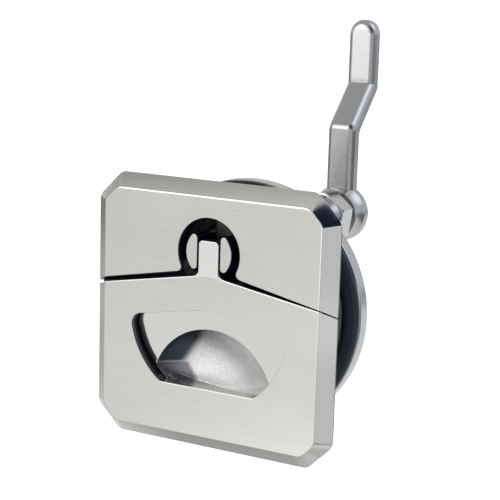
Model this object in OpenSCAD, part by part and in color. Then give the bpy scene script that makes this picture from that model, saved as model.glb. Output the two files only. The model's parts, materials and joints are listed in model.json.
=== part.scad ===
// Flush lift-and-turn compression latch.
// The square faced handle lies flush in an octagonal face plate. Lifting it
// turns its cam off a thrust bar, so the head and spindle move back and let the
// arm go. Frame: +X right, +Y into the panel, +Z up. The origin is on the panel
// seat (the back of the plate), at the centre of the barrel.

/* [Face plate] */
// Width and height of the square plate
plate_w = 64; // [62:0.5:68]
// Thickness of the plate, front face to panel seat
plate_t = 4.4; // [4.2:0.1:5]
// Leg of the cut corner, measured on the outside edge
corner_c = 6.2; // [5:0.1:8]
// Width of the front bevel along the four sides
bevel_w = 3.4; // [2.5:0.1:4]
// Width of the front bevel across the cut corners
bevel_corner_w = 2.83; // [2.2:0.01:3.4]
// Depth of the front bevel
bevel_d = 2.95; // [2:0.05:3]
// Thickness of the base flange that lies under the handle
flange_t = 1.0; // [0.8:0.1:1.1]
// Height of the split line at the middle of the plate (handle side)
split_z = 10.47; // [10:0.01:11]
// Fall of the split line per unit of width
split_m = 0.163; // [0.12:0.001:0.2]
// Width of the gap along the split
split_gap = 0.95; // [0.8:0.05:1.2]

/* [Spindle line] */
// Height of the spindle axis above the plate centre
axis_z = 15.6; // [15.3:0.1:15.8]
// Radius of the hole around the slotted head
hole_r = 8.2; // [8:0.1:8.4]
// Radius of the slotted head
head_r = 6; // [5.9:0.05:6]
// Width of the slot in the head
slot_w = 6.2; // [6:0.1:6.4]
// Radius of the spindle shank
shank_r = 5; // [4.8:0.05:5]
// Radius of the threaded end
thread_r = 3.95; // [3.8:0.05:4]
// Radial running clearance of the sliding and turning fits
run = 0.05; // [0.03:0.01:0.08]

/* [Handle and cam] */
// Thickness of the handle plate
handle_t = 3.1; // [3:0.05:3.2]
// Width of the tongue
tongue_w = 5.2; // [5:0.1:5.4]
// Depth of the pivot pin behind the front face
pivot_d = 2.4; // [2.3:0.05:2.5]
// Radius of the pivot pin
pin_r = 1.5; // [1.2:0.05:1.5]
// Cam reach behind the pivot with the handle shut
cam_shut = 5.3; // [5.2:0.05:5.4]
// Travel of the head while the handle swings a quarter turn
cam_travel = 2.5; // [2.2:0.1:2.5]
// Radius of the handle window and of the finger cup
cup_r = 21.05; // [20.5:0.05:21.5]
// Bottom edge of the handle window
window_low = -16.9; // [-18:0.1:-15]
// Depth of the flat cup floor behind the front face
floor_d = 2.6; // [2.4:0.05:3]
// Height of the centre of the finger scoop
scoop_z = -19.5; // [-20.5:0.1:-19]
// Radius of the scoop where it meets the cup floor
scoop_r = 16.4; // [15.5:0.1:16.6]
// Depth of the scoop below the cup floor
scoop_d = 8; // [7:0.5:9]
// Gap between the cup floor and the handle window
window_gap = 0.2; // [0.15:0.05:0.3]

/* [Barrel and clamp ring] */
// Outer radius of the barrel that passes through the panel
barrel_r = 25; // [24.5:0.1:25.2]
// Length of the barrel behind the panel seat
barrel_l = 26; // [24:0.5:28]
// Outer radius of the clamp ring
ring_r = 30.45; // [29.5:0.05:31]
// Front face of the clamp ring behind the panel seat
ring_y = 14.2; // [13:0.1:15]
// Thickness of the clamp ring
ring_t = 4.7; // [4:0.1:5]

/* [Arm and nut] */
// Across flats of the nut
nut_af = 13; // [13:0.5:13]
// Front of the first nut behind the panel seat
nut_y = 53.5; // [53:0.1:55]
// Radius of the arm eye
eye_r = 7.7; // [7.5:0.1:8.5]
// Width of the arm
arm_w = 7.86; // [7:0.02:8.5]
// Depth of the arm
arm_t = 5; // [4.5:0.1:5.4]
// Set-back of the arm tip behind its root
arm_crank = 11; // [8:0.1:12]
// Height of the lower bend of the arm
arm_bend = 39.5; // [36:0.5:41]
// Height of the arm tip
arm_top = 67.4; // [64:0.1:70]

/* [Hidden] */
$fn = 96;

hw = plate_w / 2;
face_y = -plate_t;
bevel_y = face_y + bevel_d;
hback_y = face_y + handle_t;
piv_y = face_y + pivot_d;
edge_n = sqrt(1 + split_m * split_m);
tongue_top = axis_z + cam_shut - cam_travel;
seat_gap = 0.08;
spigot = 0.4;
bar_y = piv_y + cam_shut + seat_gap;
bar_t = 2.02;
ring_seat_y = bar_y + bar_t;
bush_y = ring_seat_y + 1;
slot_end_y = ring_seat_y + 0.4;
head_end_y = 14;
housing_y = 13.4;
housing_end_y = 39;
bulk_y = 17;
spring_y0 = 18.7;
spring_y1 = 28.7;
floor_y = face_y + floor_d;
scoop_R = (scoop_r * scoop_r + scoop_d * scoop_d) / (2 * scoop_d);
scoop_y = floor_y + scoop_d - scoop_R;
arm_y = nut_y + 10.9;
eye_y = nut_y + 8.7;
eye_t = 7.1;
rim = 0.9;

steel = [0.80, 0.80, 0.78];
satin = [0.66, 0.66, 0.65];
dark = [0.16, 0.17, 0.19];
nylon = [0.10, 0.10, 0.11];

// height of the split line, handle side and plate side
function split_h(x) = split_z - split_m * abs(x);
function split_p(x) = split_h(x) + split_gap;

function unit(v) = v / norm(v);
function flat(l) = [for (a = l) for (b = a) b];
function arcp(c, r, a0, a1, n) =
    [for (i = [0:n]) c + r * [cos(a0 + (a1 - a0) * i / n), sin(a0 + (a1 - a0) * i / n)]];
function turn(a0, a1) = ((a1 - a0 + 540) % 360) - 180;
// points of a corner at b, rounded with radius r
function corner(a, b, c, r, n) = r <= 0 ? [b] :
    let (u = unit(a - b), v = unit(c - b), h = acos(u * v) / 2,
        m = b + unit(u + v) * r / sin(h),
        p = b + u * r / tan(h), q = b + v * r / tan(h),
        s = atan2(p.y - m.y, p.x - m.x),
        t = turn(s, atan2(q.y - m.y, q.x - m.x)))
    arcp(m, r, s, s + t, n);
// outline through points [x, y, radius]
function rounded(p, n = 8) = let (k = len(p)) flat([for (i = [0:k - 1])
    corner([p[(i + k - 1) % k].x, p[(i + k - 1) % k].y], [p[i].x, p[i].y],
        [p[(i + 1) % k].x, p[(i + 1) % k].y], p[i][2], n)]);
function flipx(p) = [for (i = [len(p) - 1:-1:0]) [-p[i].x, p[i].y]];

// a flat outline in X and Z, from depth y0 to y1
module slab(y0, y1) {
    translate([0, y1, 0]) rotate([90, 0, 0]) linear_extrude(y1 - y0) children();
}
// an outline in Y and Z, from x0 to x1
module side_slab(x0, x1) {
    translate([x0, 0, 0]) rotate([90, 0, 90]) linear_extrude(x1 - x0) children();
}
// a round bar along Y at the spindle line
module rod(r, y0, y1) {
    translate([0, y0, axis_z]) rotate([-90, 0, 0]) cylinder(r = r, h = y1 - y0);
}
module tube(ro, ri, y0, y1) {
    difference() { rod(ro, y0, y1); rod(ri, y0 - 1, y1 + 1); }
}
// a round bar along Y at the plate centre
module drum(r, y0, y1) {
    translate([0, y0, 0]) rotate([-90, 0, 0]) cylinder(r = r, h = y1 - y0);
}
module oring(ri, wire, y) {
    translate([0, y, axis_z]) rotate([-90, 0, 0])
        rotate_extrude() translate([ri + wire, 0]) circle(r = wire, $fn = 32);
}

// the eight sloping cuts of the front bevel
module bevel_cut(d, inset) {
    translate([d, bevel_y, 0]) rotate([0, 0, atan2(-bevel_d, -inset)])
        translate([-4, 0, -60]) cube([14, 12, 120]);
}
module bevels() {
    d = (plate_w - corner_c) / sqrt(2);
    for (a = [0:90:270]) {
        rotate([0, a, 0]) bevel_cut(hw, bevel_w);
        rotate([0, a + 45, 0]) bevel_cut(d, bevel_corner_w);
    }
}

// fillet between the hole and the split edge of the plate
mouth_r = 1.5;
mk = split_z + split_gap + mouth_r * edge_n - axis_z;
mx = (mk * split_m + sqrt(mk * mk * split_m * split_m
    - edge_n * edge_n * (mk * mk - pow(hole_r + mouth_r, 2)))) / (edge_n * edge_n);
mz = axis_z + mk - split_m * mx;
mouth_a = atan2(mz - axis_z, mx);
mouth_pts = arcp([mx, mz], mouth_r, 180 + mouth_a, 180 + mouth_a
    + turn(180 + mouth_a, -90 - atan(split_m)), 8);
hole_pts = arcp([0, axis_z], hole_r, mouth_a, 180 - mouth_a, 64);

module octagon2d(in = 0) {
    h = hw - in;
    c = hw - corner_c - in * (sqrt(2) - 1);
    polygon([[h, c], [c, h], [-c, h], [-h, c], [-h, -c], [-c, -h], [c, -h], [h, -c]]);
}
module upper2d() {
    c = hw - corner_c;
    side = corner([mouth_pts[8].x, mouth_pts[8].y], [hw, split_p(hw)], [hw, c], 0.35, 4);
    polygon(concat(side, [[hw, c], [c, hw], [-c, hw], [-hw, c]], flipx(side),
        flipx(mouth_pts), [for (i = [63:-1:1]) hole_pts[i]], mouth_pts));
}
module cup2d(r = cup_r, top = 2.6) {
    a = asin(top / r);
    polygon(arcp([0, 0], r, 180 - a, 360 + a, 96));
}
module window2d(in = 0) {
    r = 2.7 - in;
    m = 0.18;
    o = cup_r - in;
    h = 2.2 - in * sqrt(1 + m * m);
    k = h - r * sqrt(1 + m * m);
    q = 1 + m * m;
    x = (k * m + sqrt(k * k * m * m - q * (k * k - pow(o - r, 2)))) / q;
    z = k - m * x;
    a = atan2(z, x);
    low = asin((window_low + in) / o);
    fil = arcp([x, z], r, a, 90 - atan(m), 10);
    side = arcp([0, 0], o, low, a, 24);
    right = concat(side, [for (i = [1:10]) fil[i]]);
    polygon(concat(right, [[0, h]], flipx(right)));
}
module handle2d() {
    c = hw - corner_c;
    t = tongue_w / 2;
    polygon(rounded([[-t, tongue_top, 1], [t, tongue_top, 1], [t, split_h(t), 1.9],
        [hw, split_h(hw), 0], [hw, -c, 0], [c, -hw, 0], [-c, -hw, 0], [-hw, -c, 0],
        [-hw, split_h(hw), 0], [-t, split_h(t), 1.9]]));
}

// Housing ------------------------------------------------------------------
module face_plate() {
    color(steel) difference() {
        union() {
            slab(face_y, hback_y) upper2d();
            slab(hback_y - 0.5, 0) intersection() { upper2d(); octagon2d(rim); }
            slab(-flange_t, 0) octagon2d(rim);
        }
        bevels();
        slab(-flange_t - 1, 1) polygon(arcp([0, axis_z], hole_r, 0, 360 * 71 / 72, 71));
        slab(-flange_t - 1, 1) cup2d();
        // round recess that locates the barrel
        drum(barrel_r + 0.03, -spigot, 1);
    }
}

module barrel() {
    pitch = 1.5;
    color(satin) difference() {
        drum(barrel_r, -spigot, barrel_l);
        difference() {
            drum(barrel_r - 2.1, -1, barrel_l + 1);
            rod(11.2, -2, barrel_l + 2);
        }
        rod(9, -1, housing_y);
        rod(8.62, housing_y - 1, barrel_l + 1);
        // crests and roots of the clamp thread
        rotate([-90, 0, 0]) rotate_extrude() for (y = [10.5:pitch:barrel_l - 0.5])
            polygon([[barrel_r + 0.1, y], [barrel_r - 0.7, y + pitch * 0.45],
                [barrel_r + 0.1, y + pitch * 0.9]]);
    }
}

// the scoop: a ball trimmed by a wall with casting draft
module scoop() {
    intersection() {
        translate([0, scoop_y, scoop_z]) sphere(r = scoop_R);
        rotate([-90, 0, 0]) translate([0, 0, floor_y - 1.2])
            cylinder(r1 = cup_r - 0.1 + 0.3, r2 = cup_r - 0.1 + 0.3 - 0.25 * 12, h = 12);
    }
}
module finger_cup() {
    color(steel) difference() {
        union() {
            slab(floor_y, 0) window2d(window_gap);
            intersection() {
                union() {
                    slab(-spigot, 1.6) cup2d(barrel_r - 2.15, 4);
                    translate([0, scoop_y, scoop_z]) sphere(r = scoop_R + 1.8);
                }
                slab(-spigot, 30) cup2d(barrel_r - 2.15, 4);
            }
        }
        scoop();
    }
}

module clamp_ring() {
    color(steel) difference() {
        rotate([-90, 0, 0]) rotate_extrude() polygon([
            [barrel_r + 0.03, ring_y], [ring_r - 0.4, ring_y], [ring_r, ring_y + 0.4],
            [ring_r, ring_y + ring_t - 0.6], [ring_r - 0.6, ring_y + ring_t],
            [barrel_r + 0.03, ring_y + ring_t]]);
        // four holes for a pin spanner
        for (a = [45:90:315]) rotate([0, a, 0]) translate([27.75, ring_y + 2.2, 0])
            rotate([-90, 0, 0]) cylinder(r = 1.5, h = 4, $fn = 48);
    }
}

module panel_gasket() {
    y0 = ring_y - 1.8;
    color(dark) rotate([-90, 0, 0]) rotate_extrude()
        polygon(rounded([[26.3, ring_y, 0], [26.3, y0, 0.7], [ring_r - 0.15, y0, 0.9],
            [ring_r - 0.15, ring_y, 0]]));
}

module thrust_bar() {
    color(dark) translate([-2.5, bar_y, axis_z - 8.6]) cube([5, bar_t, 17.2]);
}
module wear_ring() { color(nylon) tube(8.95, 6.6, ring_seat_y, bush_y); }

module front_bush() {
    color(nylon) difference() {
        rod(8.95, bush_y, housing_y);
        rod(head_r + run, bush_y - 1, housing_y + 1);
        rod(head_r + 1.7, 9, 10.8);
    }
}
module head_seal() { color(dark) oring(head_r + run, 0.8, 9.9); }

module spindle_housing() {
    color(satin) difference() {
        rod(8.6, housing_y, housing_end_y);
        rod(6.5, housing_y - 1, bulk_y);
        rod(shank_r + 0.3, bulk_y - 1, bulk_y + 4);
        rod(7.75, bulk_y + 1.6, housing_end_y + 1);
        rod(8.15, 37.4, 38.4);
    }
}
module rear_bush() {
    color(nylon) difference() {
        rod(7.73, 33.8, 37.4);
        rod(shank_r + run, 33, 38);
        rod(6.7, 34.6, 36.4);
    }
}
module spindle_seal() { color(dark) oring(shank_r + run, 0.8, 35.5); }
module housing_circlip() {
    color(satin) difference() {
        rod(8.13, 37.45, 38.35);
        rod(6.8, 37, 39);
        translate([-2, 37, axis_z - 12]) cube([4, 2, 8]);
    }
}

// Head and handle -------------------------------------------------------------
// one ear of the slotted head, with its corners rounded
ear_r = 0.85;
ear_out = head_r - 0.03;
ear_x = slot_w / 2 + ear_r;
ear_z = sqrt(pow(ear_out - ear_r, 2) - ear_x * ear_x);
ear_a = atan2(ear_z, ear_x);
module ear2d() {
    up = arcp([ear_x, ear_z], ear_r, ear_a, 180, 10);
    down = [for (i = [10:-1:0]) [up[i].x, -up[i].y]];
    translate([0, axis_z]) polygon(concat(arcp([0, 0], ear_out, -ear_a, ear_a, 24),
        [for (i = [1:10]) up[i]], [for (i = [0:9]) down[i]]));
}
module clevis_head() {
    color(steel) difference() {
        union() {
            slab(face_y, slot_end_y + 0.5) ear2d();
            slab(face_y, slot_end_y + 0.5) mirror([1, 0, 0]) ear2d();
            rod(head_r, slot_end_y, head_end_y);
        }
        translate([-10, piv_y, axis_z]) rotate([0, 90, 0]) cylinder(r = pin_r + 0.01, h = 20, $fn = 48);
        rod(3 + run, 8.2, head_end_y + 1);
        rod(3.55, 10.4, 11.6);
    }
}
module pivot_pin() {
    color(satin) translate([-5.35, piv_y, axis_z]) rotate([0, 90, 0])
        cylinder(r = pin_r, h = 10.7, $fn = 48);
}
module head_snap_ring() {
    color(satin) difference() {
        tube(3.53, 2.8, 10.45, 11.55);
        translate([-0.8, 10, axis_z - 6]) cube([1.6, 2, 6]);
    }
}

// cam reach at angle p from straight back (0) to straight up (90)
function cam_h(p) = cam_shut - cam_travel * p / 90;
function cam_pt(p) = let (d = -cam_travel * 2 / PI)
    [piv_y + cam_h(p) * cos(p) - d * sin(p), axis_z + cam_h(p) * sin(p) + d * cos(p)];
module cam2d() {
    polygon(concat([[face_y, split_h(2.6) - 2.5], [hback_y, split_h(2.6) - 2.5],
        [hback_y + 0.4, split_h(2.6) - 0.4], [piv_y + cam_shut, 11.6]],
        [for (p = [0:5:90]) cam_pt(p)], [[face_y, tongue_top]]));
}
module tongue2d() {
    t = tongue_w / 2;
    polygon(rounded([[-t, tongue_top, 1], [t, tongue_top, 1], [t, split_h(t) - 2.5, 0],
        [-t, split_h(t) - 2.5, 0]]));
}
module split_relief() {
    leg = 1.4;
    for (s = [0, 1]) mirror([s, 0, 0]) translate([5.6, hback_y, split_h(5.6)])
        rotate([0, atan(split_m), 0]) rotate([45, 0, 0])
            translate([0, -leg / sqrt(2), -leg / sqrt(2)])
                cube([30, leg * sqrt(2), leg * sqrt(2)]);
}
module handle() {
    color(steel) difference() {
        union() {
            difference() {
                slab(face_y, hback_y) difference() { handle2d(); window2d(); }
                bevels();
                split_relief();
            }
            intersection() {
                side_slab(-10, 10) cam2d();
                slab(face_y, 10) tongue2d();
            }
        }
        translate([-10, piv_y, axis_z]) rotate([0, 90, 0])
            cylinder(r = pin_r + run, h = 20, $fn = 48);
    }
}

// Spindle, spring and arm -----------------------------------------------------
thread_y = 50;
spindle_end = eye_y + eye_t + 1.9;
module spindle() {
    color(steel) difference() {
        translate([0, 0, axis_z]) rotate([-90, 0, 0]) rotate_extrude() polygon([
            [0, 8.6], [2.6, 8.6], [3, 9], [3, 10.1], [2.5, 10.1], [2.5, 11.9], [3, 11.9],
            [3, 14.3], [shank_r - 0.3, 14.3], [shank_r, 14.6], [shank_r, 29.85],
            [4.05, 29.85], [4.05, 30.95], [shank_r, 30.95], [shank_r, thread_y - 0.8],
            [shank_r - 0.8, thread_y], [thread_r, thread_y],
            [thread_r, spindle_end - 0.9], [thread_r - 0.9, spindle_end], [0, spindle_end]]);
    }
}

// coil spring swept along a helix with closed ends
coil_r = 6.5;
wire_r = 0.75;
coil_n = 20;
coil_turns = 5;
function coil_y(t) = spring_y0 + wire_r + (spring_y1 - spring_y0 - 2 * wire_r)
    * (t < 0.14 ? t * 0.55 : t > 0.86 ? 1 - (1 - t) * 0.55 : 0.077 + (t - 0.14) * 0.846 / 0.72);
module return_spring() {
    n = coil_n * coil_turns;
    k = 8;
    pts = [for (i = [0:n], j = [0:k - 1])
        let (a = 360 * i / coil_n, b = 360 * j / k, r = coil_r + wire_r * cos(b))
        [r * cos(a), coil_y(i / n) + wire_r * sin(b), axis_z + r * sin(a)]];
    faces = concat([[for (j = [0:k - 1]) j]],
        [[for (j = [k - 1:-1:0]) n * k + j]],
        [for (i = [0:n - 1], j = [0:k - 1])
            [i * k + j, i * k + k + j, i * k + k + (j + 1) % k, i * k + (j + 1) % k]]);
    color(satin) polyhedron(pts, faces);
}
module spring_washer() { color(satin) tube(7.5, shank_r + 0.05, 28.8, 29.8); }
module spring_e_clip() {
    color(satin) difference() {
        tube(7.3, 4.07, 29.9, 30.9);
        translate([-2.6, 29, axis_z - 10]) cube([5.2, 3, 9]);
        for (s = [-1, 1]) rotate([0, 0, 0]) translate([s * 4.9, 29, axis_z + 1.6])
            rotate([-90, 0, 0]) cylinder(r = 0.9, h = 3, $fn = 24);
    }
}

module arm_side2d() {
    b = arm_bend;
    c = arm_crank;
    e = arm_t * tan(22.5);
    polygon(rounded([[arm_y, axis_z, 0], [arm_y, b, 1], [arm_y + c, b + c, 2],
        [arm_y + c, arm_top + 1, 0], [arm_y + c + arm_t, arm_top + 1, 0],
        [arm_y + c + arm_t, b + c - e, 2], [arm_y + arm_t, b - e, 3], [arm_y + arm_t, axis_z, 0]]));
}
module arm_front2d() {
    w = arm_w / 2;
    polygon(concat([[-w, axis_z], [w, axis_z]], arcp([0, arm_top - w], w, 0, 180, 32)));
}
module arm() {
    color(satin) difference() {
        union() {
            translate([0, eye_y, axis_z]) rotate([-90, 0, 0]) rotate_extrude() polygon([
                [0, 0], [6.5, 0], [7, 0.5], [eye_r, 3.4], [eye_r, eye_t - 1.2], [eye_r - 1.2, eye_t], [0, eye_t]]);
            intersection() {
                side_slab(-10, 10) arm_side2d();
                slab(50, 100) arm_front2d();
            }
        }
        rod(thread_r + 0.03, eye_y - 1, eye_y + 12);
    }
}

// hexagon nut with its corners turned down on both faces
module nut(y, h, a) {
    e = nut_af / sqrt(3);
    difference() {
        intersection() {
            translate([0, y, axis_z]) rotate([-90, 0, 0]) rotate([0, 0, a]) cylinder(r = e, h = h, $fn = 6);
            translate([0, y, axis_z]) rotate([-90, 0, 0]) rotate_extrude() polygon([[0, 0],
                [nut_af / 2 - 0.1, 0], [e + 0.1, 0.62], [e + 0.1, h - 0.62],
                [nut_af / 2 - 0.1, h], [0, h]]);
        }
        rod(thread_r + 0.03, y - 1, y + h + 1);
    }
}
module front_nut() { color(steel) nut(nut_y, 6.4, -21.4); }
module lock_washer() {
    color(dark) difference() {
        tube(6.6, thread_r + 0.2, nut_y + 6.4, eye_y);
        translate([0, nut_y + 7.5, axis_z - 5.4]) rotate([0, 0, 35]) cube([0.8, 7, 6], center = true);
    }
}

face_plate();
barrel();
finger_cup();
clamp_ring();
panel_gasket();
thrust_bar();
wear_ring();
front_bush();
head_seal();
spindle_housing();
rear_bush();
spindle_seal();
housing_circlip();
clevis_head();
pivot_pin();
head_snap_ring();
handle();
spindle();
return_spring();
spring_washer();
spring_e_clip();
arm();
front_nut();
lock_washer();
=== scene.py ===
import json
import math

import bmesh
import bpy
from mathutils import Matrix, Vector


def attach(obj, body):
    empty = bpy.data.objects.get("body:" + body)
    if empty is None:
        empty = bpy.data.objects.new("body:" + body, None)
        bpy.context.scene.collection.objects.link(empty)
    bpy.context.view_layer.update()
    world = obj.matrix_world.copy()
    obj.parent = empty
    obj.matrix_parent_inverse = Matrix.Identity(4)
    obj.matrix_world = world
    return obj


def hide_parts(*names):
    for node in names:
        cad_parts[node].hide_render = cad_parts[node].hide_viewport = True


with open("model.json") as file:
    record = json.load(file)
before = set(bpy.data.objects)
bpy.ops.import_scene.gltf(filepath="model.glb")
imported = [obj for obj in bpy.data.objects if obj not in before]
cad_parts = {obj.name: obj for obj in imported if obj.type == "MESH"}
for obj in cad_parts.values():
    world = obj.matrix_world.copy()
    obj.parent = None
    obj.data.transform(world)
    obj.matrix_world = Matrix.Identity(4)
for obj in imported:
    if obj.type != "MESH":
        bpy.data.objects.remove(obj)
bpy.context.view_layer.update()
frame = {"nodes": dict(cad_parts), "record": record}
nodes = frame["nodes"]
scene = bpy.context.scene
scene.view_settings.view_transform = "Standard"
scene.view_settings.look = "None"
scene.view_settings.exposure = 0.0
scene.view_settings.gamma = 1.0

MM = 0.001

# ---------------------------------------------------------------- camera
R = Vector((0.87671664, 0.48009226, 0.03000772))
U = Vector((-0.11876747, 0.15561615, 0.98067267))
B = Vector((0.4661291, -0.86331587, 0.1934479))
cam_data = bpy.data.cameras.new("camera")
cam_data.sensor_fit = "HORIZONTAL"
cam_data.sensor_width = 36.0
cam_data.lens = 100.966
cam_data.clip_start = 0.01
cam_data.clip_end = 50.0
cam = bpy.data.objects.new("camera", cam_data)
scene.collection.objects.link(cam)
m = Matrix.Identity(4)
for i in range(3):
    m[i][0], m[i][1], m[i][2] = R[i], U[i], B[i]
m[0][3], m[1][3], m[2][3] = 0.15807928, -0.27713607, 0.07881413
cam.matrix_world = m
scene.camera = cam


# ---------------------------------------------------------------- node helpers
class Tree:
    """Small helper that adds and links shader nodes."""

    def __init__(self, tree):
        self.t = tree
        tree.nodes.clear()

    def add(self, kind, **values):
        n = self.t.nodes.new(kind)
        for k, v in values.items():
            setattr(n, k, v)
        return n

    def put(self, socket, value):
        if isinstance(value, bpy.types.NodeSocket):
            self.t.links.new(value, socket)
        else:
            socket.default_value = value

    def math(self, op, a, b=0.0, c=0.0, clamp=False):
        n = self.add("ShaderNodeMath", operation=op, use_clamp=clamp)
        for i, v in enumerate((a, b, c)):
            self.put(n.inputs[i], v)
        return n.outputs[0]

    def vmath(self, op, a, b=(0, 0, 0)):
        n = self.add("ShaderNodeVectorMath", operation=op)
        self.put(n.inputs[0], a)
        self.put(n.inputs[1], b)
        return n.outputs["Value"] if op in ("DOT_PRODUCT", "LENGTH", "DISTANCE") else n.outputs["Vector"]

    def scaled(self, vec, k):
        n = self.add("ShaderNodeVectorMath", operation="SCALE")
        self.put(n.inputs[0], vec)
        self.put(n.inputs["Scale"], k)
        return n.outputs["Vector"]

    def split(self, vec):
        n = self.add("ShaderNodeSeparateXYZ")
        self.put(n.inputs[0], vec)
        return n.outputs[0], n.outputs[1], n.outputs[2]

    def remap(self, v, a, b, c=0.0, d=1.0, smooth=True):
        n = self.add("ShaderNodeMapRange", interpolation_type="SMOOTHSTEP" if smooth else "LINEAR")
        self.put(n.inputs["Value"], v)
        for k, x in (("From Min", a), ("From Max", b), ("To Min", c), ("To Max", d)):
            n.inputs[k].default_value = x
        return n.outputs["Result"]

    def mix(self, f, a, b, mode="MIX"):
        n = self.add("ShaderNodeMix", data_type="RGBA", blend_type=mode)
        self.put(n.inputs[0], f)
        self.put(n.inputs[6], a)
        self.put(n.inputs[7], b)
        return n.outputs[2]

    def lerp(self, f, a, b):
        n = self.add("ShaderNodeMix", data_type="FLOAT")
        self.put(n.inputs[0], f)
        self.put(n.inputs[2], a)
        self.put(n.inputs[3], b)
        return n.outputs[0]

    def noise(self, vec, scale, detail=2.0, rough=0.5):
        n = self.add("ShaderNodeTexNoise")
        self.put(n.inputs["Vector"], vec)
        n.inputs["Scale"].default_value = scale
        n.inputs["Detail"].default_value = detail
        n.inputs["Roughness"].default_value = rough
        return n.outputs[0]

    def stretch(self, vec, s, rot=(0, 0, 0)):
        n = self.add("ShaderNodeMapping")
        self.put(n.inputs["Vector"], vec)
        n.inputs["Scale"].default_value = s
        n.inputs["Rotation"].default_value = rot
        return n.outputs[0]

    def bump(self, h, strength, distance, normal=None):
        n = self.add("ShaderNodeBump")
        n.inputs["Strength"].default_value = strength
        n.inputs["Distance"].default_value = distance
        self.put(n.inputs["Height"], h)
        if normal is not None:
            self.put(n.inputs["Normal"], normal)
        return n.outputs[0]


def material(name):
    mat = bpy.data.materials.new(name)
    mat.use_nodes = True
    t = Tree(mat.node_tree)
    out = t.add("ShaderNodeOutputMaterial")
    bsdf = t.add("ShaderNodeBsdfPrincipled")
    t.t.links.new(bsdf.outputs[0], out.inputs[0])
    obj = t.add("ShaderNodeTexCoord").outputs["Object"]
    return mat, t, bsdf, obj


# ---------------------------------------------------------------- materials
# dark blue-black colour painted into gaps, slits and recesses as painted shade
GAP_SHADE = (0.006, 0.009, 0.026, 1.0)


def swing(t, v, amount):
    """v between 0 and 1 as a change of plus or minus half of amount."""
    return t.math("MULTIPLY", t.math("SUBTRACT", v, 0.5), amount)


def steel(name, color, rough, brush=(40, 40, 2600), brush_amount=0.05, bump=0.05, grain=0.0,
          rough_var=0.05, tone=None):
    """Bare stainless steel: drawn lines, faint mottling and optional fine grain."""
    mat, t, b, obj = material(name)
    lines = t.noise(t.stretch(obj, brush), 1.0, 3.0, 0.6)
    mottle = t.noise(obj, 90.0, 4.0, 0.55)
    k = t.math("ADD", swing(t, lines, brush_amount), swing(t, mottle, brush_amount * 0.8))
    h = lines
    if grain > 0:
        fine = t.noise(obj, 5200.0, 2.0, 0.6)
        k = t.math("ADD", k, swing(t, fine, grain * 0.35))
        h = t.math("ADD", lines, t.math("MULTIPLY", fine, grain))
    k = t.math("ADD", k, 1.0)
    if tone is not None:
        k = t.math("MULTIPLY", k, tone(t, obj))
    t.put(b.inputs["Base Color"], t.scaled(color[:3], k))
    b.inputs["Metallic"].default_value = 1.0
    r = t.math("ADD", t.math("ADD", swing(t, lines, rough_var), swing(t, mottle, rough_var)), rough)
    t.put(b.inputs["Roughness"], r)
    t.put(b.inputs["Normal"], t.bump(h, bump, 0.00002))
    return mat


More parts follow.
